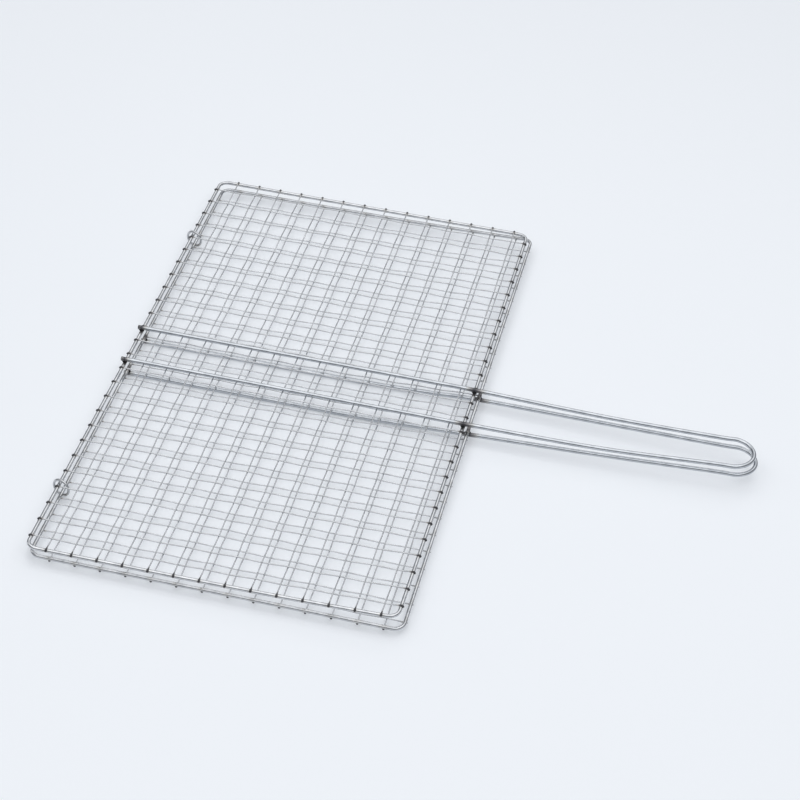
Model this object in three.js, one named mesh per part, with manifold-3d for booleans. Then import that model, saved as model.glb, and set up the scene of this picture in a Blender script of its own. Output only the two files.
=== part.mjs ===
// Two-panel wire grill basket, lying closed on the legs of its lower handle.
// Millimetres, +Z up. The panels' short side runs along X with the handles at +X and the two hinge
// rings at -X; their long side runs along Y. The origin is the middle of the whole basket's base.
import * as THREE from "three";
import { mergeVertices } from "three/addons/utils/BufferGeometryUtils.js";
import Module from "manifold-3d";

// ---- Driving dimensions, mm ------------------------------------------------------------------
const PITCH = 20; // spacing of the mesh wires, both ways
const LONG_WIRES = 14; // wires along the long side of a panel
const SHORT_WIRES = 26; // wires along its short side
const PANEL_WIDTHS = { lower: 290.5, upper: 288.5 }; // frame size between wire centres, across
const PANEL_Y = 528; // and along
const CORNER = 8; // frame corner bend, at the wire's centre
const BEND_END = 11; // where the frame's bent part gives way to its straight hinge side
const FRAME_WIRE = 3;
const ROD = 3.5; // handle rod
const MESH_WIRE = 1.1;
const GAP = 0.3; // clearance kept between separate pieces

const FIRST_LONG = 16.3; // first long wire, from the hinge side of the frame
const FIRST_SHORT = 12.4; // first short wire, from the near side of the frame
const LOWER_SLIP = new THREE.Vector2(2.5, -2); // lower panel along X, and its short wires along Y

// The thin panels are a little bent. These are the heights of their frames' near corner, middle and
// far corner over the lower panel's hinge side, which is straight.
const HINGE_SIDES = { lower: [0, 0, 0], upper: [7.5, 6.4, 7.5] };
const HANDLE_SIDES = { lower: [-0.5, 3.9, 4], upper: [11.5, 6.2, 8] };

const LEG_SPREAD = 46; // between the two legs of a handle, at the hinge side
const LEG_SPREAD_OUT = 47; // and where they cross the handle side
const LEG_END = 2.5; // how far the legs pass the hinge-side wire
const LOWER_LEG_FLAT = 0.7; // part of the panel's width along which the lower legs lie on the surface
const HANDLE_REACH = 524; // hinge-side wire to the centre line of the handle's end
const GRIP_SPREAD = 35.5; // between the legs where the rounded end starts
// Beyond the panel a handle bends at two places, given as distance from the hinge side, spread
// between its legs and height of its centre line over the surface.
const HANDLE_BENDS = {
  lower: [[400, 41.8, 8], [489, GRIP_SPREAD, 10.8]],
  upper: [[400, 41.8, 14.6], [489, GRIP_SPREAD, 18.3]],
};
const TIP_HEIGHTS = { lower: 11.4, upper: 19.2 }; // the same for its rounded end

const RING_RADIUS = 7; // hinge ring, to the wire's centre
const RING_WIRE = 2;
const RING_MOUTH = 0.6; // between the ring's two butted ends
const RING_YAW = THREE.MathUtils.degToRad(-18); // the loose rings stand a little askew
const RING_PLACES = { near: 77.2, far: 437.2 }; // from the near side of the frame

const HOOK_RADIUS = 2.5; // mesh wire's centre line where it is hooked over the frame wire
const HOOK_RUN = 6; // length over which a mesh wire leaves the mesh for its hook
const LAYER = 0.65; // short wires this far outside the panel's mid surface, long wires inside
const TOUCH = 0.8; // width of the joint between two crossing wires that are one solid

// ---- Round wires as swept polygons -----------------------------------------------------------
const FRAME_SIDES = 8;
const ROD_SIDES = 8;
const RING_SIDES = 8;
const MESH_SIDES = 4;

// Circumradius of the regular polygon with the same area as the round wire, so its mass is right.
function polygonRadius(diameter, sides) {
  const area = Math.PI * (diameter / 2) ** 2;
  return Math.sqrt(area / ((sides / 2) * Math.sin((2 * Math.PI) / sides)));
}

// A centre line through given points. It is sampled point by point, not by length, so that each
// bend of a wire keeps its place when a section is swept along it.
class WirePath extends THREE.Curve {
  constructor(points) {
    super();
    this.points = points;
    this.stretches = points.length - 1;
  }

  at(index) {
    return this.points[Math.min(Math.max(index, 0), this.stretches)];
  }

  getPoint(t) {
    const index = Math.min(Math.floor(t * this.stretches + 1e-6), this.stretches - 1);
    return this.at(index).clone().lerp(this.at(index + 1), t * this.stretches - index);
  }

  getPointAt(u) {
    return this.getPoint(u);
  }

  getTangentAt(u) {
    const index = Math.round(u * this.stretches);
    const before = this.at(index).clone().sub(this.at(index - 1)).normalize();
    const after = this.at(index + 1).clone().sub(this.at(index)).normalize();
    return before.add(after).normalize();
  }
}

// A wire with two ends, its section turned so that flat sides face along and across the bend.
function sweepOpen(points, diameter, sides) {
  const radius = polygonRadius(diameter, sides);
  const corners = [];
  for (let i = 0; i < sides; i++) {
    const angle = (2 * Math.PI * (i + 0.5)) / sides;
    corners.push(new THREE.Vector2(radius * Math.cos(angle), radius * Math.sin(angle)));
  }
  const path = new WirePath(points);
  return new THREE.ExtrudeGeometry(new THREE.Shape(corners), {
    steps: path.stretches,
    extrudePath: path,
  });
}

function arc(centre, radius, from, to, steps) {
  const points = [];
  for (let i = 0; i <= steps; i++) {
    const angle = from + ((to - from) * i) / steps;
    points.push(new THREE.Vector2(
      centre.x + radius * Math.cos(angle),
      centre.y + radius * Math.sin(angle),
    ));
  }
  return points;
}

// ---- The two panels --------------------------------------------------------------------------
const rodApothem = polygonRadius(ROD, ROD_SIDES) * Math.cos(Math.PI / ROD_SIDES);
const rodLift = polygonRadius(FRAME_WIRE, FRAME_SIDES) + GAP + rodApothem; // rod centre over frame
const lowerLevel = rodApothem + rodLift; // lower frame wire above the surface under the legs

// A smooth curve through three heights, with `along` from -1 at the near corner to 1 at the far one.
function throughThree([near, middle, far], along) {
  return middle + ((far - near) / 2) * along + ((far + near) / 2 - middle) * along ** 2;
}

// Height of a panel's mid surface over the lower hinge side. The bend grows towards the handle side.
function rise(name, x, y) {
  const across = THREE.MathUtils.clamp(x / PANEL_WIDTHS[name], 0, 1) ** 3;
  const along = (2 * y) / PANEL_Y - 1;
  return THREE.MathUtils.lerp(
    throughThree(HINGE_SIDES[name], along),
    throughThree(HANDLE_SIDES[name], along),
    across,
  );
}

// A panel's outward side is the one its handle lies on.
const lower = {
  name: "lower",
  outward: -1,
  width: PANEL_WIDTHS.lower,
  height: (x, y) => lowerLevel + rise("lower", x, y),
  firstShort: FIRST_SHORT + LOWER_SLIP.y,
  group: new THREE.Group(),
};
const upper = {
  name: "upper",
  outward: 1,
  width: PANEL_WIDTHS.upper,
  height: (x, y) => lowerLevel + rise("upper", x, y),
  firstShort: FIRST_SHORT,
  group: new THREE.Group(),
};
lower.group.position.x = LOWER_SLIP.x;

// Points along a straight side from one place to another, in steps so that the side can bow.
function sidePoints(from, to, steps) {
  const points = [];
  for (let k = 0; k <= steps; k++)
    points.push(from.clone().lerp(to, k / steps));
  return points;
}

function frameSweep(panel, outline) {
  const points = outline.map(({ x, y }) => new THREE.Vector3(x, y, panel.height(x, y)));
  return sweepOpen(points, FRAME_WIRE, FRAME_SIDES);
}

// The frame is a rectangle of wire with bent corners. Its hinge side, which the rings go round, is
// a piece of its own between the bends.
const hingeSideEnd = (inset) => [
  new THREE.Vector2(0, BEND_END + inset),
  new THREE.Vector2(0, PANEL_Y - BEND_END - inset),
];

function hingeSideGeometry(panel) {
  return frameSweep(panel, sidePoints(...hingeSideEnd(GAP), 10));
}

// The rest of the frame: near side, handle side and far side with all four bends.
function frameGeometry(panel) {
  const bend = (x, y, from) =>
    arc(new THREE.Vector2(x, y), CORNER, from, from + Math.PI / 2, 3);
  const bends = [
    bend(CORNER, CORNER, Math.PI),
    bend(panel.width - CORNER, CORNER, -Math.PI / 2),
    bend(panel.width - CORNER, PANEL_Y - CORNER, 0),
    bend(CORNER, PANEL_Y - CORNER, Math.PI / 2),
  ];
  const [nearEnd, farEnd] = hingeSideEnd(0);
  const sideSteps = [6, 10, 6];
  const outline = [nearEnd, ...bends[0]];
  sideSteps.forEach((steps, i) => {
    outline.push(...sidePoints(bends[i].at(-1), bends[i + 1][0], steps).slice(1, -1));
    outline.push(...bends[i + 1]);
  });
  outline.push(farEnd);
  return frameSweep(panel, outline);
}

// The handle: one rod bent to a long U. Its legs lie across the panel's outer face and its rounded
// end is the grip. The lower legs carry the basket, so they stay on the surface for most of the way.
function handleGeometry(panel) {
  const middle = PANEL_Y / 2;
  const flatEnd = LOWER_LEG_FLAT * panel.width;
  const legStations = [-LEG_END, 0, flatEnd / 2, flatEnd, panel.width];
  const legPoint = (x, side) => {
    const spread = THREE.MathUtils.mapLinear(x, 0, panel.width, LEG_SPREAD, LEG_SPREAD_OUT);
    const y = middle + (side * spread) / 2;
    const flat = panel === lower && x <= flatEnd;
    const z = flat ? rodApothem : panel.height(x, y) + panel.outward * rodLift;
    return new THREE.Vector3(x, y, z);
  };
  const leg = (side) => [
    ...legStations.map((x) => legPoint(x, side)),
    ...HANDLE_BENDS[panel.name].map(([x, spread, z]) =>
      new THREE.Vector3(x, middle + (side * spread) / 2, z)),
  ];
  const endRadius = GRIP_SPREAD / 2;
  const tip = new THREE.Vector2(HANDLE_REACH - endRadius, middle);
  const end = arc(tip, endRadius, -Math.PI / 2, Math.PI / 2, 10)
    .map(({ x, y }) => new THREE.Vector3(x, y, TIP_HEIGHTS[panel.name]));
  const points = [...leg(-1), ...end, ...leg(1).reverse()];
  return sweepOpen(points, ROD, ROD_SIDES);
}

// A mesh wire, drawn in its own upright plane: `run` along the wire, `out` away from the panel.
// Both ends climb to the outward side and hook over the frame wire.
function meshWirePoints(panel, length, steps, out, place) {
  const hook = arc(new THREE.Vector2(0, 0), HOOK_RADIUS, Math.PI / 3, (13 * Math.PI) / 12, 3);
  const flat = [];
  for (let i = 0; i <= steps; i++)
    flat.push(new THREE.Vector2(HOOK_RUN + ((length - 2 * HOOK_RUN) * i) / steps, out));
  const stations = [
    ...hook.slice().reverse().map((p) => ({ at: 0, run: p.x, out: p.y })),
    ...flat.map((p) => ({ at: p.x, run: p.x, out: p.y })),
    ...hook.map((p) => ({ at: length, run: length - p.x, out: p.y })),
  ];
  return stations.map(({ at, run, out: offset }) => {
    const level = place(at);
    const point = place(run);
    return new THREE.Vector3(
      point.x,
      point.y,
      panel.height(level.x, level.y) + panel.outward * offset,
    );
  });
}

function longWireGeometry(panel, x) {
  const points = meshWirePoints(panel, PANEL_Y, 6, -LAYER, (y) => ({ x, y }));
  return sweepOpen(points, MESH_WIRE, MESH_SIDES);
}

function shortWireGeometry(panel, y) {
  const points = meshWirePoints(panel, panel.width, 6, LAYER, (x) => ({ x, y }));
  return sweepOpen(points, MESH_WIRE, MESH_SIDES);
}

const longPlace = (i) => FIRST_LONG + i * PITCH;
const shortPlace = (panel, i) => panel.firstShort + i * PITCH;

// ---- Joining wires into one solid ------------------------------------------------------------
const wasm = await Module();
wasm.setup();

function solidOf(geometry) {
  const bare = geometry.clone();
  bare.deleteAttribute("normal");
  bare.deleteAttribute("uv");
  const merged = mergeVertices(bare, 1e-3);
  return new wasm.Manifold(new wasm.Mesh({
    numProp: 3,
    vertProperties: merged.attributes.position.array,
    triVerts: new Uint32Array(merged.index.array),
  }));
}

function geometryOf(solid) {
  const mesh = solid.getMesh();
  return new THREE.BufferGeometry()
    .setAttribute("position", new THREE.BufferAttribute(mesh.vertProperties, mesh.numProp))
    .setIndex(new THREE.BufferAttribute(mesh.triVerts, 1));
}

// Each long wire is one solid with one of the short wires it crosses, joined where they touch.
const pairedShort = (i) => Math.min(2 * i, SHORT_WIRES - 1);

function wirePairGeometry(panel, i) {
  const x = longPlace(i);
  const y = shortPlace(panel, pairedShort(i));
  const touch = new THREE.BoxGeometry(TOUCH, TOUCH, 2 * LAYER).translate(x, y, panel.height(x, y));
  const wires = solidOf(longWireGeometry(panel, x)).add(solidOf(shortWireGeometry(panel, y)));
  return geometryOf(wires.add(solidOf(touch)));
}

// ---- Hinge rings -----------------------------------------------------------------------------
// A ring of bent wire whose ends meet, round both frames' hinge-side wires.
function ringGeometry() {
  const half = RING_MOUTH / 2 / RING_RADIUS;
  const mouth = -Math.PI / 4; // towards the inside, low down
  const circle = arc(
    new THREE.Vector2(0, 0),
    RING_RADIUS,
    mouth + half,
    mouth + 2 * Math.PI - half,
    18,
  );
  return sweepOpen(circle.map(({ x, y }) => new THREE.Vector3(x, 0, y)), RING_WIRE, RING_SIDES);
}

function ringPosition(y) {
  return new THREE.Vector3(LOWER_SLIP.x / 2, y, lowerLevel + rise("upper", 0, y) / 2);
}

// ---- Assembly --------------------------------------------------------------------------------
function steel(color, roughness) {
  return new THREE.MeshStandardMaterial({ color, roughness, metalness: 1 });
}

function addPiece(group, name, geometry, material) {
  const piece = new THREE.Mesh(geometry, material);
  piece.name = name;
  group.add(piece);
  return piece;
}

const basket = new THREE.Group();
basket.add(lower.group, upper.group);

const numbered = (stem, i) => `${stem}_${String(i + 1).padStart(2, "0")}`;

for (const panel of [lower, upper]) {
  const add = (name, geometry, material) =>
    addPiece(panel.group, `${panel.name}_${name}`, geometry, material);
  add("frame", frameGeometry(panel), steel(0xb9bcbf, 0.3));
  add("frame_hinge_side", hingeSideGeometry(panel), steel(0xb9bcbf, 0.3));
  add("handle", handleGeometry(panel), steel(0xbdc0c3, 0.28));

  const paired = new Set();
  for (let i = 0; i < LONG_WIRES; i++) {
    paired.add(pairedShort(i));
    add(numbered("wire_pair", i), wirePairGeometry(panel, i), steel(0xaeb2b6, 0.35));
  }
  for (let i = 0; i < SHORT_WIRES; i++) {
    if (paired.has(i)) continue;
    const geometry = shortWireGeometry(panel, shortPlace(panel, i));
    add(numbered("short_wire", i), geometry, steel(0xa9adb2, 0.35));
  }
}

for (const [place, y] of Object.entries(RING_PLACES)) {
  const ring = addPiece(basket, `hinge_ring_${place}`, ringGeometry(), steel(0xa6a9ad, 0.35));
  ring.position.copy(ringPosition(y));
  ring.rotation.z = RING_YAW;
}

// Put the origin at the middle of the base of the box round the whole basket.
const bounds = new THREE.Box3().setFromObject(basket, true);
const centre = bounds.getCenter(new THREE.Vector3());
basket.position.set(-centre.x, -centre.y, -bounds.min.z);

export default basket;
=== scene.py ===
"""Looks of a two-panel wire grill basket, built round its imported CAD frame.

The basket lies closed: the panels' short side runs along X with the handles at +X and the hinge
rings at -X, and their long side runs along Y. Lengths below are in millimetres, in a panel's own
coordinates (x from its hinge-side wire, y from its near side wire, z from the surface), and
Panel.place() turns them into metres in the part's frame.
"""

import math

import bpy
import numpy as np
from mathutils import Matrix, Vector


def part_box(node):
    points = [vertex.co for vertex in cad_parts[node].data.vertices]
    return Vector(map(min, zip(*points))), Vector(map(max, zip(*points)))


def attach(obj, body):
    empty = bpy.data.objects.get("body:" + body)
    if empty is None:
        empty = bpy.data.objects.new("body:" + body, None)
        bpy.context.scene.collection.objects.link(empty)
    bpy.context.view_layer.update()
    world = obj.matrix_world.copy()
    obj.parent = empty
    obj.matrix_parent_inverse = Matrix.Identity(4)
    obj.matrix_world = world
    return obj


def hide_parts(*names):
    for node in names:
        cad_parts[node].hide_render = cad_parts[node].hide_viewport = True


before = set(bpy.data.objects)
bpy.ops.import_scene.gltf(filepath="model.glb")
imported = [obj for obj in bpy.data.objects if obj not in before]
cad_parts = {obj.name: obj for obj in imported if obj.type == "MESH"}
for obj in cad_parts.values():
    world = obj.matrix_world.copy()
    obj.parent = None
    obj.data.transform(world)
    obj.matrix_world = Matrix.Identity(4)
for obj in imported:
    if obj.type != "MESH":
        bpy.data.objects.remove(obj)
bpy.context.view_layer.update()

MM = 0.001
UP = Vector((0, 0, 1))

# ---- Driving dimensions, mm ---------------------------------------------------------------------
PITCH = 20
LONG_WIRES = 14
SHORT_WIRES = 26
PANEL_WIDTHS = {"lower": 290.5, "upper": 288.5}
PANEL_Y = 528
CORNER = 8
FRAME_WIRE = 3.1
ROD = 3.6
MESH_WIRE = 1.1
RING_WIRE = 2

FIRST_LONG = 16.3  # from the hinge-side wire to the first long mesh wire
FIRST_SHORT = 12.4  # from the near side wire to the upper panel's first short mesh wire
LOWER_SLIP_Y = -2  # the lower panel's short wires stand this much nearer

# Heights of the frames' near corner, middle and far corner over the lower panel's hinge side.
HINGE_SIDES = {"lower": (0, 0, 0), "upper": (7.5, 6.4, 7.5)}
HANDLE_SIDES = {"lower": (-0.5, 3.9, 4), "upper": (11.5, 6.2, 8)}

LEG_SPREAD = 46  # between a handle's two legs, at the hinge side
LEG_SPREAD_OUT = 47  # and where they cross the handle side
LEG_END = 1.5  # how far they pass the hinge-side wire's centre; the deburred end adds 1.3 mm
LOWER_LEG_FLAT = 0.7  # share of the panel's width that the lower legs lie flat
HANDLE_REACH = 524
GRIP_SPREAD = 35.5
HANDLE_BENDS = {  # distance from the hinge side, spread, height over the surface
    "lower": ((400, 41.8, 8), (489, GRIP_SPREAD, 10.8)),
    "upper": ((400, 41.8, 14.6), (489, GRIP_SPREAD, 18.3)),
}
TIP_HEIGHTS = {"lower": 11.4, "upper": 19.2}
ROD_LIFT = 3.585  # from a frame wire's centre line to that of the rod across it

RING_RADIUS = 7
RING_MOUTH = 0.6
RING_MOUTH_AT = -45  # degrees in the ring's plane, from the handle side towards the top

MESH_OUT = 1.2  # the mesh's mid surface lies this far outside the frame wires' centre lines
CRIMPS = {"short": 0.4, "long": 0.6}  # how far a wire swings to each side of the mesh
CRIMP_CORNER = 0.93  # 0 is a smooth wave and 1 a zigzag
SIDE_WANDER = {"short": 0.3, "long": 0.35}
SAG_WANDER = 0.2
WOVEN_STEP = 3.4  # between a mesh wire's stations

HOOK_RADIUS = 1.55
HOOK_START = 80  # degrees round the frame wire, from the panel's inside over its outward side
HOOK_END = {"lower": 128, "upper": 165}
HOOK_STATIONS = 8
HOOK_RUN = 8  # from the frame wire to where the weave starts
CLIMB_SHARE = 0.4  # a station this far from the hook to the weave rounds the climb

KNOT_LENGTH = 0.6  # from the frame wire's centre to where a knot ends
KNOT_SWELL = 0.8  # the welded ends are squeezed this much wider than the wire
KNOT_SCORCH = 0.8
SCORCH_START = 0.4  # the scorch fades from here, along the wire,
SCORCH_FADE = 3  # over this length

# Heat in a frame wire at each weld: at the weld, and how much less for each millimetre from it.
KNOT_HEAT = (0.2, 0.05)
LEG_HEAT = (0.9, 0.16)
ROD_HEAT = 0.8
ROD_HEAT_REACH = 4

# Each wire's end is deburred, so it closes over two smaller sections: how far each lies past the
# last one, in wire radii, and its size as a share of the last one's.
DEBURR = ((0.2, 0.93), (0.5, 0.72))

MESH_SIDES = 8
ROD_SIDES = 18
RING_SIDES = 14

rng = np.random.default_rng(20)


# ---- Panels -------------------------------------------------------------------------------------
def through_three(heights, along):
    """A parabola through the near, middle and far heights, at along from -1 to 1."""
    near, middle, far = heights
    return middle + (far - near) / 2 * along + ((far + near) / 2 - middle) * along**2


class Panel:
    """Half of the basket: its shape, and where it lies when the basket is closed."""

    def __init__(self, name, outward, first_short):
        self.name = name
        self.body = f"{name}_panel"
        self.width = PANEL_WIDTHS[name]
        self.outward = outward
        self.first_short = first_short
        low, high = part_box(f"{name}_frame")
        centre = (low + high) / 2
        self.origin = Vector((centre.x - self.width / 2 * MM, centre.y - PANEL_Y / 2 * MM, 0))

    def level(self, x, y):
        """Height of the frame wires' centre lines. The panel bends more towards the handle side."""
        across = np.clip(x / self.width, 0, 1) ** 3
        along = 2 * y / PANEL_Y - 1
        hinge_side = through_three(HINGE_SIDES[self.name], along)
        handle_side = through_three(HANDLE_SIDES[self.name], along)
        return LOWER_LEVEL + hinge_side + (handle_side - hinge_side) * across

    def place(self, x, y, z):
        """Points in metres, in the part's frame."""
        points = np.stack(np.broadcast_arrays(x, y, z), axis=-1) * MM
        return points + np.array(self.origin)


def middle_height(node):
    """Height in mm of the middle of a CAD node."""
    low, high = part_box(node)
    return (low.z + high.z) / 2 / MM


LOWER_LEVEL = middle_height("lower_frame_hinge_side")
lower = Panel("lower", -1, FIRST_SHORT + LOWER_SLIP_Y)
upper = Panel("upper", 1, FIRST_SHORT)


# ---- Wire meshes --------------------------------------------------------------------------------
def turned_sections(points, closed):
    """Two directions across a wire at each of its points, carried along it without twist."""
    if closed:
        ahead, behind = np.roll(points, -1, axis=0), np.roll(points, 1, axis=0)
    else:
        ahead = np.concatenate([points[1:], points[-1:]])
        behind = np.concatenate([points[:1], points[:-1]])
    tangents = ahead - behind
    tangents /= np.linalg.norm(tangents, axis=1)[:, None]
    side = np.array(UP) if abs(tangents[0][2]) < 0.9 else np.array((1.0, 0, 0))
    across = np.zeros_like(points)
    for k, tangent in enumerate(tangents):
        side = side - tangent * (side @ tangent)
        side = side / np.linalg.norm(side)
        across[k] = side
    return across, np.cross(tangents, across), tangents


def wire_mesh(name, points, diameter, sides, closed=False, heat=None, swell=None):
    """A round wire along points, in metres. It stores two values for its material: wire_space, the
    place on the wire as if it were straight, and scorch, from 0 for bright wire to 1 for scale."""
    points = np.asarray(points, float)
    count = len(points)
    heat = np.zeros(count) if heat is None else np.asarray(heat, float)
    swell = np.ones(count) if swell is None else np.asarray(swell, float)
    across, up, tangents = turned_sections(points, closed)
    radius = diameter / 2
    if not closed:
        for past, share in DEBURR:
            first = points[0] - tangents[0] * radius * past
            last = points[-1] + tangents[-1] * radius * past
            points = np.concatenate([[first], points, [last]])
            across = np.concatenate([across[:1], across, across[-1:]])
            up = np.concatenate([up[:1], up, up[-1:]])
            tangents = np.concatenate([tangents[:1], tangents, tangents[-1:]])
            heat = np.concatenate([heat[:1], heat, heat[-1:]])
            swell = np.concatenate([[share * swell[0]], swell, [share * swell[-1]]])
        count = len(points)
    angles = np.arange(sides) * 2 * math.pi / sides
    ring = np.cos(angles)[None, :, None] * across[:, None] + np.sin(angles)[None, :, None] * up[:, None]
    radii = radius * swell
    vertices = points[:, None] + radii[:, None, None] * ring
    run = np.concatenate([[0], np.cumsum(np.linalg.norm(np.diff(points, axis=0), axis=1))])
    space = np.empty((count, sides, 3))
    space[..., 0] = radius * np.cos(angles)
    space[..., 1] = radius * np.sin(angles)
    space[..., 2] = run[:, None]

    k = np.arange(count if closed else count - 1)[:, None]
    i = np.arange(sides)[None, :]
    after, beside = (k + 1) % count, (i + 1) % sides
    quads = np.stack(
        np.broadcast_arrays(k * sides + i, k * sides + beside, after * sides + beside, after * sides + i),
        axis=-1,
    ).reshape(-1, 4)
    faces = quads.tolist()
    if not closed:
        faces.append(list(range(sides))[::-1])
        faces.append(list(range((count - 1) * sides, count * sides)))
    return steel_mesh(name, vertices.reshape(-1, 3), faces, space / MM, np.repeat(heat, sides))


def steel_mesh(name, vertices, faces, wire_space, scorch):
    """A smooth mesh with the two values that the steel material reads at each vertex."""
    mesh = bpy.data.meshes.new(name)
    mesh.from_pydata(vertices.tolist(), [], faces)
    mesh.polygons.foreach_set("use_smooth", [True] * len(mesh.polygons))
    spot = mesh.attributes.new("wire_space", "FLOAT_VECTOR", "POINT")
    spot.data.foreach_set("vector", np.asarray(wire_space, np.float32).ravel())
    tint = mesh.attributes.new("scorch", "FLOAT", "POINT")
    tint.data.foreach_set("value", np.asarray(scorch, np.float32))
    mesh.update()
    return mesh


def show(name, mesh, material, body, slot, *nodes):
    """Put a piece on its body, in place of the CAD nodes that it replaces."""
    piece = bpy.data.objects.new(name, mesh)
    bpy.context.scene.collection.objects.link(piece)
    mesh.materials.append(material)
    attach(piece, body)
    if nodes:
        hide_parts(*nodes)


def smooth_line(points, per_span):
    """A Catmull-Rom curve through points, with per_span stations from each point to the next."""
    points = np.asarray(points, float)
    before = np.concatenate([[2 * points[0] - points[1]], points[:-1]])
    after = np.concatenate([points[1:], [2 * points[-1] - points[-2]]])
    made = []
    for k in range(len(points) - 1):
        p0, p1, p2, p3 = before[k], points[k], points[k + 1], after[k + 1]
        t = (np.arange(per_span) / per_span)[:, None]
        made.append(
            0.5 * (2 * p1 + (p2 - p0) * t + (2 * p0 - 5 * p1 + 4 * p2 - p3) * t**2
                   + (3 * p1 - p0 - 3 * p2 + p3) * t**3)
        )
    made.append(points[-1:])
    return np.concatenate(made)


def wander(length, at, size):
    """A slow seeded drift along a wire, zero at both ends."""
    t = np.clip(at / length, 0, 1)
    drift = np.zeros_like(t)
    for k in (1, 2, 3):
        drift += rng.normal(0, size / k) * np.sin(k * math.pi * t)
    return drift


# ---- Materials ----------------------------------------------------------------------------------
STREAK_SCALE_ALONG = 0.05
TINT_RAGGEDNESS = 0.16  # share of the heat that the specks add or take away
STREAK_ROUGHNESS = 0.14  # added where the streaks are strongest
SCORCH_ROUGHNESS = 0.35  # added at full scorch


def new_material(name):
    material = bpy.data.materials.new(name)
    material.use_nodes = True
    tree = material.node_tree
    return material, tree, tree.nodes["Principled BSDF"]


def add_node(tree, kind, **inputs):
    node = tree.nodes.new(kind)
    for key, value in inputs.items():
        node.inputs[key.replace("_", " ")].default_value = value
    return node


def steel(name, bright, dull, roughness, streak_scale, grime):
    """Drawn stainless wire: fine streaks along it, dull patches, and heat tint where it was welded.
    Its patterns are laid out in wire_space, so their scales are per mm of wire."""
    material, tree, shader = new_material(name)
    link = tree.links.new
    space = tree.nodes.new("ShaderNodeAttribute")
    space.attribute_name = "wire_space"
    heat = tree.nodes.new("ShaderNodeAttribute")
    heat.attribute_name = "scorch"

    stretch = add_node(tree, "ShaderNodeMapping", Scale=(streak_scale, streak_scale, STREAK_SCALE_ALONG))
    link(space.outputs["Vector"], stretch.inputs["Vector"])
    streaks = add_node(tree, "ShaderNodeTexNoise", Scale=1.0, Detail=4.0, Roughness=0.6)
    link(stretch.outputs["Vector"], streaks.inputs["Vector"])

    patches = add_node(tree, "ShaderNodeTexNoise", Scale=0.11, Detail=3.0, Roughness=0.55)
    link(space.outputs["Vector"], patches.inputs["Vector"])
    specks = add_node(tree, "ShaderNodeTexNoise", Scale=2.6, Detail=5.0, Roughness=0.7)
    link(space.outputs["Vector"], specks.inputs["Vector"])

    patchy = add_node(tree, "ShaderNodeMapRange", From_Min=0.35, From_Max=0.7)
    link(patches.outputs["Fac"], patchy.inputs["Value"])
    metal = tree.nodes.new("ShaderNodeMix")
    metal.data_type = "RGBA"
    metal.inputs["A"].default_value = (*bright, 1)
    metal.inputs["B"].default_value = (*dull, 1)
    link(patchy.outputs["Result"], metal.inputs["Factor"])

    lines = add_node(tree, "ShaderNodeMapRange", From_Min=0.3, From_Max=0.75, To_Min=1.0, To_Max=1 - grime)
    link(streaks.outputs["Fac"], lines.inputs["Value"])
    lined = tree.nodes.new("ShaderNodeVectorMath")
    lined.operation = "SCALE"
    link(metal.outputs["Result"], lined.inputs[0])
    link(lines.outputs["Result"], lined.inputs["Scale"])

    # the tint's edge is uneven, so the heat is pushed about by the specks before it is read
    ragged = add_node(tree, "ShaderNodeMapRange", From_Min=0.3, From_Max=0.7,
                      To_Min=-TINT_RAGGEDNESS, To_Max=TINT_RAGGEDNESS)
    link(specks.outputs["Fac"], ragged.inputs["Value"])
    pushed = tree.nodes.new("ShaderNodeMath")
    pushed.operation = "MULTIPLY_ADD"
    link(heat.outputs["Fac"], pushed.inputs[0])
    link(ragged.outputs["Result"], pushed.inputs[1])
    link(heat.outputs["Fac"], pushed.inputs[2])

    colours = tree.nodes.new("ShaderNodeValToRGB")
    stops = colours.color_ramp.elements
    stops[0].position, stops[0].color = 0.0, (1, 1, 1, 1)
    stops[1].position, stops[1].color = 1.0, (0.05, 0.05, 0.055, 1)
    stops.new(0.25).color = (0.80, 0.77, 0.72, 1)
    stops.new(0.5).color = (0.42, 0.39, 0.38, 1)
    stops.new(0.75).color = (0.14, 0.135, 0.14, 1)
    link(pushed.outputs["Value"], colours.inputs["Fac"])
    tinted = tree.nodes.new("ShaderNodeMix")
    tinted.data_type = "RGBA"
    tinted.blend_type = "MULTIPLY"
    tinted.inputs["Factor"].default_value = 1
    link(lined.outputs["Vector"], tinted.inputs["A"])
    link(colours.outputs["Color"], tinted.inputs["B"])
    link(tinted.outputs["Result"], shader.inputs["Base Color"])

    # scale is an oxide, so it is less of a metal
    bare = add_node(tree, "ShaderNodeMapRange", From_Min=0.45, From_Max=1.0, To_Min=1.0, To_Max=0.35)
    link(pushed.outputs["Value"], bare.inputs["Value"])
    link(bare.outputs["Result"], shader.inputs["Metallic"])

    sheen = add_node(tree, "ShaderNodeMapRange", From_Min=0.3, From_Max=0.75,
                     To_Min=roughness, To_Max=roughness + STREAK_ROUGHNESS)
    link(streaks.outputs["Fac"], sheen.inputs["Value"])
    dulled = tree.nodes.new("ShaderNodeMath")
    dulled.operation = "MULTIPLY_ADD"
    dulled.inputs[1].default_value = SCORCH_ROUGHNESS
    link(pushed.outputs["Value"], dulled.inputs[0])
    link(sheen.outputs["Result"], dulled.inputs[2])
    link(dulled.outputs["Value"], shader.inputs["Roughness"])

    relief = tree.nodes.new("ShaderNodeMath")
    relief.operation = "MULTIPLY_ADD"
    link(specks.outputs["Fac"], relief.inputs[0])
    link(pushed.outputs["Value"], relief.inputs[1])
    link(streaks.outputs["Fac"], relief.inputs[2])
    bump = add_node(tree, "ShaderNodeBump", Strength=0.35, Distance=0.03 * MM)
    link(relief.outputs["Value"], bump.inputs["Height"])
    link(bump.outputs["Normal"], shader.inputs["Normal"])
    return material


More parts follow.
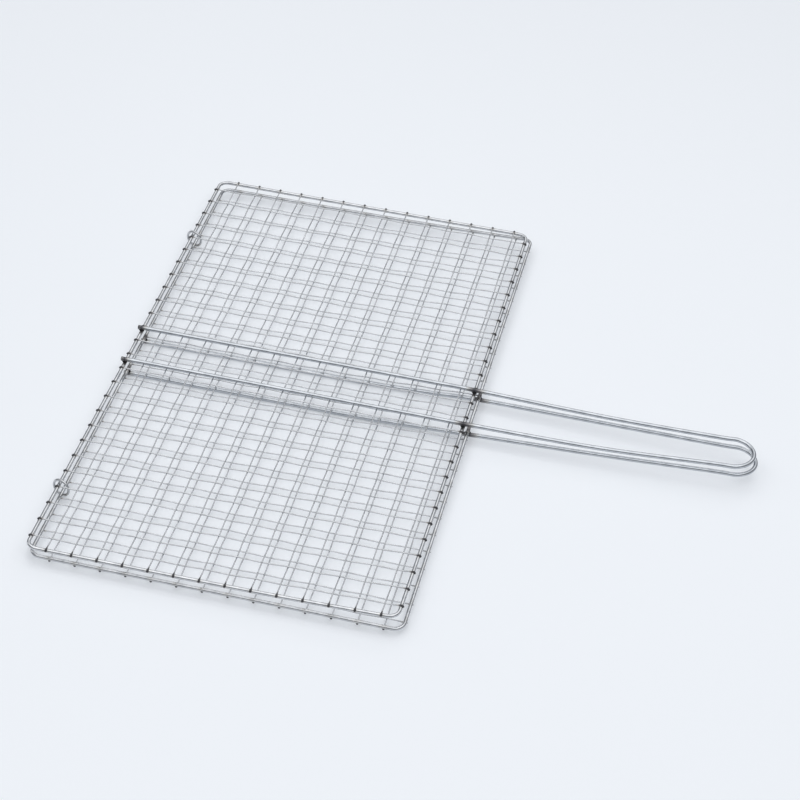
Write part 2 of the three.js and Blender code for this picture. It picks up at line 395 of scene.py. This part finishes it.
def floor_with_painted_glow():
    """A pale, slightly glossy sheet. It has a painted glow of its own colour, which keeps the shadows cast
    on it light.
    """
    material, tree, shader = new_material("pale_floor")
    grain = add_node(tree, "ShaderNodeTexNoise", Scale=3.0, Detail=2.0)
    pale = tree.nodes.new("ShaderNodeMix")
    pale.data_type = "RGBA"
    pale.inputs["A"].default_value = (0.70, 0.722, 0.754, 1)
    pale.inputs["B"].default_value = (0.708, 0.728, 0.757, 1)
    tree.links.new(grain.outputs["Fac"], pale.inputs["Factor"])
    tree.links.new(pale.outputs["Result"], shader.inputs["Base Color"])
    # painted glow: the floor gives off light of its own colour, so thin shadows on it stay light
    tree.links.new(pale.outputs["Result"], shader.inputs["Emission Color"])
    shader.inputs["Emission Strength"].default_value = 0.28
    shader.inputs["Roughness"].default_value = 0.32
    shader.inputs["Specular IOR Level"].default_value = 0.25
    return material


# ---- Camera and studio --------------------------------------------------------------------------
CAMERA_AT = (0.2471, -1.5455, 1.2408)  # metres
CAMERA_AZIMUTH = -10.18  # degrees, from +Y towards +X
CAMERA_ELEVATION = 38.12  # degrees that it looks down by
CAMERA_ROLL = -4.41
CAMERA_LENS = 108.44
CAMERA_SENSOR = 36
FLOOR_RADIUS = 9
FLOOR_SIDES = 96


def make_camera():
    azimuth, elevation, roll = map(math.radians, (CAMERA_AZIMUTH, CAMERA_ELEVATION, CAMERA_ROLL))
    ahead = Vector((
        math.sin(azimuth) * math.cos(elevation),
        math.cos(azimuth) * math.cos(elevation),
        -math.sin(elevation),
    ))
    level_right = ahead.cross(UP).normalized()
    level_down = ahead.cross(level_right)
    right = math.cos(roll) * level_right + math.sin(roll) * level_down
    up = math.sin(roll) * level_right - math.cos(roll) * level_down
    data = bpy.data.cameras.new("camera")
    data.lens = CAMERA_LENS
    data.sensor_width = CAMERA_SENSOR
    data.clip_end = 100
    camera = bpy.data.objects.new("camera", data)
    turn = Matrix((right, up, -ahead)).transposed().to_4x4()
    camera.matrix_world = Matrix.Translation(CAMERA_AT) @ turn
    bpy.context.scene.collection.objects.link(camera)
    bpy.context.scene.camera = camera


def soft_box(name, size, power, at, aim):
    """A lamp that faces aim, in metres and watts."""
    data = bpy.data.lights.new(name, "AREA")
    data.shape = "RECTANGLE"
    data.size, data.size_y = size
    data.energy = power
    light = bpy.data.objects.new(name, data)
    light.location = at
    light.rotation_euler = (Vector(aim) - Vector(at)).to_track_quat("-Z", "Y").to_euler()
    bpy.context.scene.collection.objects.link(light)


def make_floor():
    angles = np.arange(FLOOR_SIDES) * 2 * math.pi / FLOOR_SIDES
    rim = np.stack([np.cos(angles), np.sin(angles), np.zeros(FLOOR_SIDES)], axis=1) * FLOOR_RADIUS
    mesh = bpy.data.meshes.new("floor")
    mesh.from_pydata(rim.tolist(), [], [list(range(FLOOR_SIDES))])
    mesh.materials.append(floor_with_painted_glow())
    floor = bpy.data.objects.new("floor", mesh)
    bpy.context.scene.collection.objects.link(floor)


def make_room():
    """The room is dim near its walls and bright above, which draws dark edges on round wires."""
    world = bpy.data.worlds.new("studio")
    bpy.context.scene.world = world
    world.use_nodes = True
    tree = world.node_tree
    background = tree.nodes["Background"]
    background.inputs["Color"].default_value = (0.93, 0.96, 1.0, 1)
    direction = tree.nodes.new("ShaderNodeTexCoord")
    height = tree.nodes.new("ShaderNodeSeparateXYZ")
    brightness = add_node(tree, "ShaderNodeMapRange", From_Min=0.15, From_Max=0.65,
                          To_Min=0.12, To_Max=0.5)
    tree.links.new(direction.outputs["Generated"], height.inputs["Vector"])
    tree.links.new(height.outputs["Z"], brightness.inputs["Value"])
    tree.links.new(brightness.outputs["Result"], background.inputs["Strength"])


def make_studio():
    make_floor()
    make_room()
    soft_box("overhead_box", size=(3.2, 3.2), power=31, at=(0, -0.3, 1.9), aim=(0, -0.3, 0))
    soft_box("far_box", size=(3.6, 1.4), power=12, at=(0.4, 2.6, 2.1), aim=(0, 0, 0))
    soft_box("left_strip", size=(0.5, 2.2), power=3, at=(-2.1, 0.3, 1.3), aim=(0, 0, 0))
    bpy.context.scene.view_settings.view_transform = "Standard"


make_camera()
make_studio()

frame_steel = steel(
    "frame_steel", bright=(0.76, 0.77, 0.79), dull=(0.54, 0.555, 0.58),
    roughness=0.09, streak_scale=3.0, grime=0.22,
)
rod_steel = steel(
    "rod_steel", bright=(0.66, 0.685, 0.72), dull=(0.50, 0.525, 0.56),
    roughness=0.09, streak_scale=3.0, grime=0.22,
)
mesh_steel = steel(
    "mesh_steel", bright=(0.82, 0.83, 0.85), dull=(0.56, 0.57, 0.59),
    roughness=0.16, streak_scale=4.0, grime=0.3,
)
ring_steel = steel(
    "ring_steel", bright=(0.66, 0.67, 0.69), dull=(0.46, 0.47, 0.485),
    roughness=0.22, streak_scale=3.0, grime=0.2,
)
weld_steel = steel(
    "weld_steel", bright=(0.3, 0.3, 0.3), dull=(0.2, 0.2, 0.2),
    roughness=0.34, streak_scale=1.0, grime=0.2,
)


# ---- Mesh wires ---------------------------------------------------------------------------------
def hook_line(end):
    """The hook at a wire's end, from its tip to the mesh: run inwards and outward offset, mm."""
    angles = np.radians(np.linspace(end, HOOK_START, HOOK_STATIONS))
    return np.stack([HOOK_RADIUS * np.cos(angles), HOOK_RADIUS * np.sin(angles)], axis=1)


def crimp(at, crossings, size, phase):
    """Offset of a woven wire, which passes over one crossing wire and under the next."""
    place = (at - crossings[0]) / PITCH
    wave = np.sin((place + 0.5) * math.pi)
    return phase * size * np.arcsin(CRIMP_CORNER * wave) / math.asin(CRIMP_CORNER)


def woven_line(length, crossings, size, phase, hook_end):
    """Stations of a wire: run from one frame wire to the other and outward offset, mm."""
    hook = hook_line(hook_end)
    run = np.linspace(HOOK_RUN, length - HOOK_RUN, round(length / WOVEN_STEP))
    mesh = np.stack([run, MESH_OUT + crimp(run, crossings, size, phase)], axis=1)
    far_hook = np.stack([length - hook[::-1, 0], hook[::-1, 1]], axis=1)
    near_climb, far_climb = (
        (end + CLIMB_SHARE * (start - end))[None]
        for end, start in ((hook[-1], mesh[0]), (far_hook[0], mesh[-1]))
    )
    return np.concatenate([hook, near_climb, mesh, far_climb, far_hook])


def mesh_wire(panel, kind, number, node):
    """One wire of a panel's mesh: woven over and under, hooked round the frame and welded there."""
    long = kind == "long"
    length = PANEL_Y if long else panel.width
    own = (FIRST_LONG if long else panel.first_short) + number * PITCH
    start, others = (panel.first_short, SHORT_WIRES) if long else (FIRST_LONG, LONG_WIRES)
    crossings = start + np.arange(others) * PITCH
    phase = (1 if number % 2 else -1) * (1 if long else -1)
    line = woven_line(length, crossings, CRIMPS[kind], phase, HOOK_END[panel.name])
    run, out = line[:, 0], line[:, 1]
    side = own + wander(length, run, SIDE_WANDER[kind])
    sag = wander(length, run, SAG_WANDER)
    x, y = (side, run) if long else (run, side)
    level = panel.level(np.clip(x, 0, panel.width), np.clip(y, 0, PANEL_Y))
    points = panel.place(x, y, level + panel.outward * out + sag)
    from_frame = np.minimum(run, length - run)
    knot = np.clip(KNOT_LENGTH - from_frame, 0, 1)
    scorch = KNOT_SCORCH * np.clip(1 - (from_frame - SCORCH_START) / SCORCH_FADE, 0, 1)
    name = f"{panel.name}_mesh_{kind}_{number + 1:02d}"
    mesh = wire_mesh(name, points, MESH_WIRE * MM, MESH_SIDES, heat=scorch, swell=1 + KNOT_SWELL * knot)
    show(name, mesh, mesh_steel, panel.body, "mesh_wire", node)


def mesh_wires(panel):
    """In the CAD each long wire is one node with a short wire, and the other short wires are nodes
    of their own. The last long wire's partner is the last short wire."""
    node_of_short = {i: f"{panel.name}_short_wire_{i + 1:02d}" for i in range(SHORT_WIRES)}
    for i in range(LONG_WIRES):
        pair = f"{panel.name}_wire_pair_{i + 1:02d}"
        node_of_short[min(2 * i, SHORT_WIRES - 1)] = pair
        mesh_wire(panel, "long", i, pair)
    for i in range(SHORT_WIRES):
        mesh_wire(panel, "short", i, node_of_short[i])


# ---- Frames -------------------------------------------------------------------------------------
FRAME_STEP = 4
CORNER_STATIONS = 9


def corner_bend(x, y, from_degrees):
    """A quarter turn about x, y."""
    angles = np.radians(from_degrees + np.linspace(0, 90, CORNER_STATIONS))
    return np.stack([x + CORNER * np.cos(angles), y + CORNER * np.sin(angles)], axis=1)


def side_run(start, end):
    """Stations between two corners, without the corners' own."""
    count = round(np.linalg.norm(end - start) / FRAME_STEP)
    share = (np.arange(1, count) / count)[:, None]
    return start + (end - start) * share


def frame_outline(panel):
    """The frame wire's centre line in plan, once round from the near corner at the hinge side."""
    bends = [
        corner_bend(CORNER, CORNER, 180),
        corner_bend(panel.width - CORNER, CORNER, 270),
        corner_bend(panel.width - CORNER, PANEL_Y - CORNER, 0),
        corner_bend(CORNER, PANEL_Y - CORNER, 90),
    ]
    outline = []
    for i, bend in enumerate(bends):
        outline += [bend, side_run(bend[-1], bends[(i + 1) % 4][0])]
    return np.concatenate(outline)


def frame_wire(panel):
    """A frame, in one piece. It is tinted where mesh wires and handle legs are welded to it."""
    outline = frame_outline(panel)
    x, y = outline[:, 0], outline[:, 1]
    on_short_sides = (y < 1) | (y > PANEL_Y - 1)
    on_long_sides = (x < 1) | (x > panel.width - 1)
    welds = [(on_short_sides, x - (FIRST_LONG + i * PITCH), KNOT_HEAT) for i in range(LONG_WIRES)]
    welds += [(on_long_sides, y - (panel.first_short + i * PITCH), KNOT_HEAT) for i in range(SHORT_WIRES)]
    welds += [(on_long_sides, y - (PANEL_Y + leg * LEG_SPREAD) / 2, LEG_HEAT) for leg in (-1, 1)]
    heat = np.zeros(len(outline))
    for on_side, away, (peak, fade) in welds:
        heat = np.maximum(heat, np.where(on_side, peak - fade * np.abs(away), 0))
    points = panel.place(x, y, panel.level(x, y))
    name = f"{panel.name}_frame_wire"
    mesh = wire_mesh(name, points, FRAME_WIRE * MM, ROD_SIDES, closed=True, heat=heat)
    nodes = f"{panel.name}_frame", f"{panel.name}_frame_hinge_side"
    show(name, mesh, frame_steel, panel.body, "frame_wire", *nodes)


# ---- Handles ------------------------------------------------------------------------------------
LEG_STATIONS = 9
GRIP_STATIONS = 13
ROD_STATIONS_PER_SPAN = 8


def handle_leg(panel, side):
    """A leg's points, from its end past the hinge side to the grip. side is -1 near and 1 far."""
    middle = PANEL_Y / 2
    x = np.array([-LEG_END, *np.linspace(0, panel.width, LEG_STATIONS)])
    y = middle + side * (LEG_SPREAD + (LEG_SPREAD_OUT - LEG_SPREAD) * x / panel.width) / 2
    z = panel.level(np.clip(x, 0, panel.width), y) + panel.outward * ROD_LIFT
    if panel is lower:
        flat_end = LOWER_LEG_FLAT * panel.width
        rest = LOWER_LEVEL - ROD_LIFT
        z = rest + (z[-1] - rest) * np.clip((x - flat_end) / (panel.width - flat_end), 0, 1)
    over_panel = np.stack([x, y, z], axis=1)
    bends = [
        (reach, middle + side * spread / 2, height)
        for reach, spread, height in HANDLE_BENDS[panel.name]
    ]
    return np.concatenate([over_panel, bends])


def handle_rod(panel):
    """A handle: out along one leg, round the grip's half circle and back along the other."""
    radius = GRIP_SPREAD / 2
    angles = np.linspace(-math.pi / 2, math.pi / 2, GRIP_STATIONS)
    grip = np.stack([
        HANDLE_REACH - radius + radius * np.cos(angles),
        PANEL_Y / 2 + radius * np.sin(angles),
        np.full(GRIP_STATIONS, TIP_HEIGHTS[panel.name]),
    ], axis=1)
    route = np.concatenate([handle_leg(panel, -1), grip, handle_leg(panel, 1)[::-1]])
    x, y, z = smooth_line(route, ROD_STATIONS_PER_SPAN).T
    from_weld = np.minimum(np.abs(x), np.abs(x - panel.width))
    heat = ROD_HEAT * np.clip(1 - from_weld / ROD_HEAT_REACH, 0, 1)
    points = panel.place(x, y, z)
    name = f"{panel.name}_handle_rod"
    mesh = wire_mesh(name, points, ROD * MM, ROD_SIDES, heat=heat)
    show(name, mesh, rod_steel, panel.body, "handle_rod", f"{panel.name}_handle")


# ---- Welds --------------------------------------------------------------------------------------
WELD_RADII = (2.3, 2.2, 1.15)
WELD_LIFT = 0.48  # share of the way from the frame wire to the rod
WELD_LUMPS = 0.06
WELD_FLATTENING = 0.8  # under 1, its sides are fuller than an ellipsoid's
WELD_SCORCH = 0.9
WELD_ROWS = 14
WELD_SIDES = 20


def weld_nugget(panel, name, x, y):
    """The squeezed metal between a handle leg and the frame wire that it is welded across."""
    rows, sides = WELD_ROWS, WELD_SIDES
    z = panel.level(x, y) + panel.outward * ROD_LIFT * WELD_LIFT
    size = 1 + rng.normal(0, WELD_LUMPS, (rows, sides))
    polar = (math.pi * (np.arange(rows) + 0.5) / rows)[:, None]
    turn = (2 * math.pi * np.arange(sides) / sides)[None, :]
    spread = np.sin(polar) ** WELD_FLATTENING
    wide, deep, high = WELD_RADII
    local = np.stack([
        x + wide * size * spread * np.cos(turn),
        y + deep * size * spread * np.sin(turn),
        z + high * size * np.cos(polar),
    ], axis=-1).reshape(-1, 3)
    faces = [
        (r * sides + s, (r + 1) * sides + s, (r + 1) * sides + (s + 1) % sides, r * sides + (s + 1) % sides)
        for r in range(rows - 1) for s in range(sides)
    ]
    faces.append(list(range(sides)))
    faces.append(list(range((rows - 1) * sides, rows * sides))[::-1])
    mesh = steel_mesh(name, panel.place(*local.T), faces, local, np.full(len(local), WELD_SCORCH))
    show(name, mesh, weld_steel, panel.body, "handle_rod")


def handle_welds(panel):
    """Four welds, where the two legs cross the hinge side and the handle side."""
    for leg_name, side in (("near", -1), ("far", 1)):
        for end_name, x, spread in (("hinge", 0, LEG_SPREAD), ("handle", panel.width, LEG_SPREAD_OUT)):
            name = f"{panel.name}_weld_{leg_name}_{end_name}"
            weld_nugget(panel, name, x, PANEL_Y / 2 + side * spread / 2)


# ---- Hinge rings --------------------------------------------------------------------------------
RING_STATIONS = 73
RING_END_HEAT = 0.35
RING_HEAT_STEP = 0.05  # how much less heat at each station from the mouth


def hinge_ring(place):
    """A ring in its CAD node's place, turned about the vertical as far as the node's box says."""
    node = f"hinge_ring_{place}"
    low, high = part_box(node)
    centre = (low + high) / 2
    radius = RING_RADIUS * MM
    half_width = (high.x - low.x) / 2 - RING_WIRE / 2 * MM
    yaw = -math.acos(min(1, half_width / radius))
    half_mouth = math.degrees(RING_MOUTH / 2 / RING_RADIUS)
    start, end = RING_MOUTH_AT + half_mouth, RING_MOUTH_AT + 360 - half_mouth
    angles = np.radians(np.linspace(start, end, RING_STATIONS))
    points = np.stack([
        centre.x + radius * np.cos(angles) * math.cos(yaw),
        centre.y + radius * np.cos(angles) * math.sin(yaw),
        centre.z + radius * np.sin(angles),
    ], axis=1)
    from_mouth = np.minimum(np.arange(RING_STATIONS), np.arange(RING_STATIONS)[::-1])
    heat = np.clip(RING_END_HEAT - RING_HEAT_STEP * from_mouth, 0, 1)
    name = f"{node}_wire"
    mesh = wire_mesh(name, points, RING_WIRE * MM, RING_SIDES, heat=heat)
    show(name, mesh, ring_steel, node, "ring_wire", node)


# ---- The basket ---------------------------------------------------------------------------------
for panel in (lower, upper):
    mesh_wires(panel)

for panel in (lower, upper):
    frame_wire(panel)
    handle_rod(panel)
    handle_welds(panel)

for place in ("near", "far"):
    hinge_ring(place)

# ---- Update -------------------------------------------------------------------------------------
bpy.context.view_layer.update()
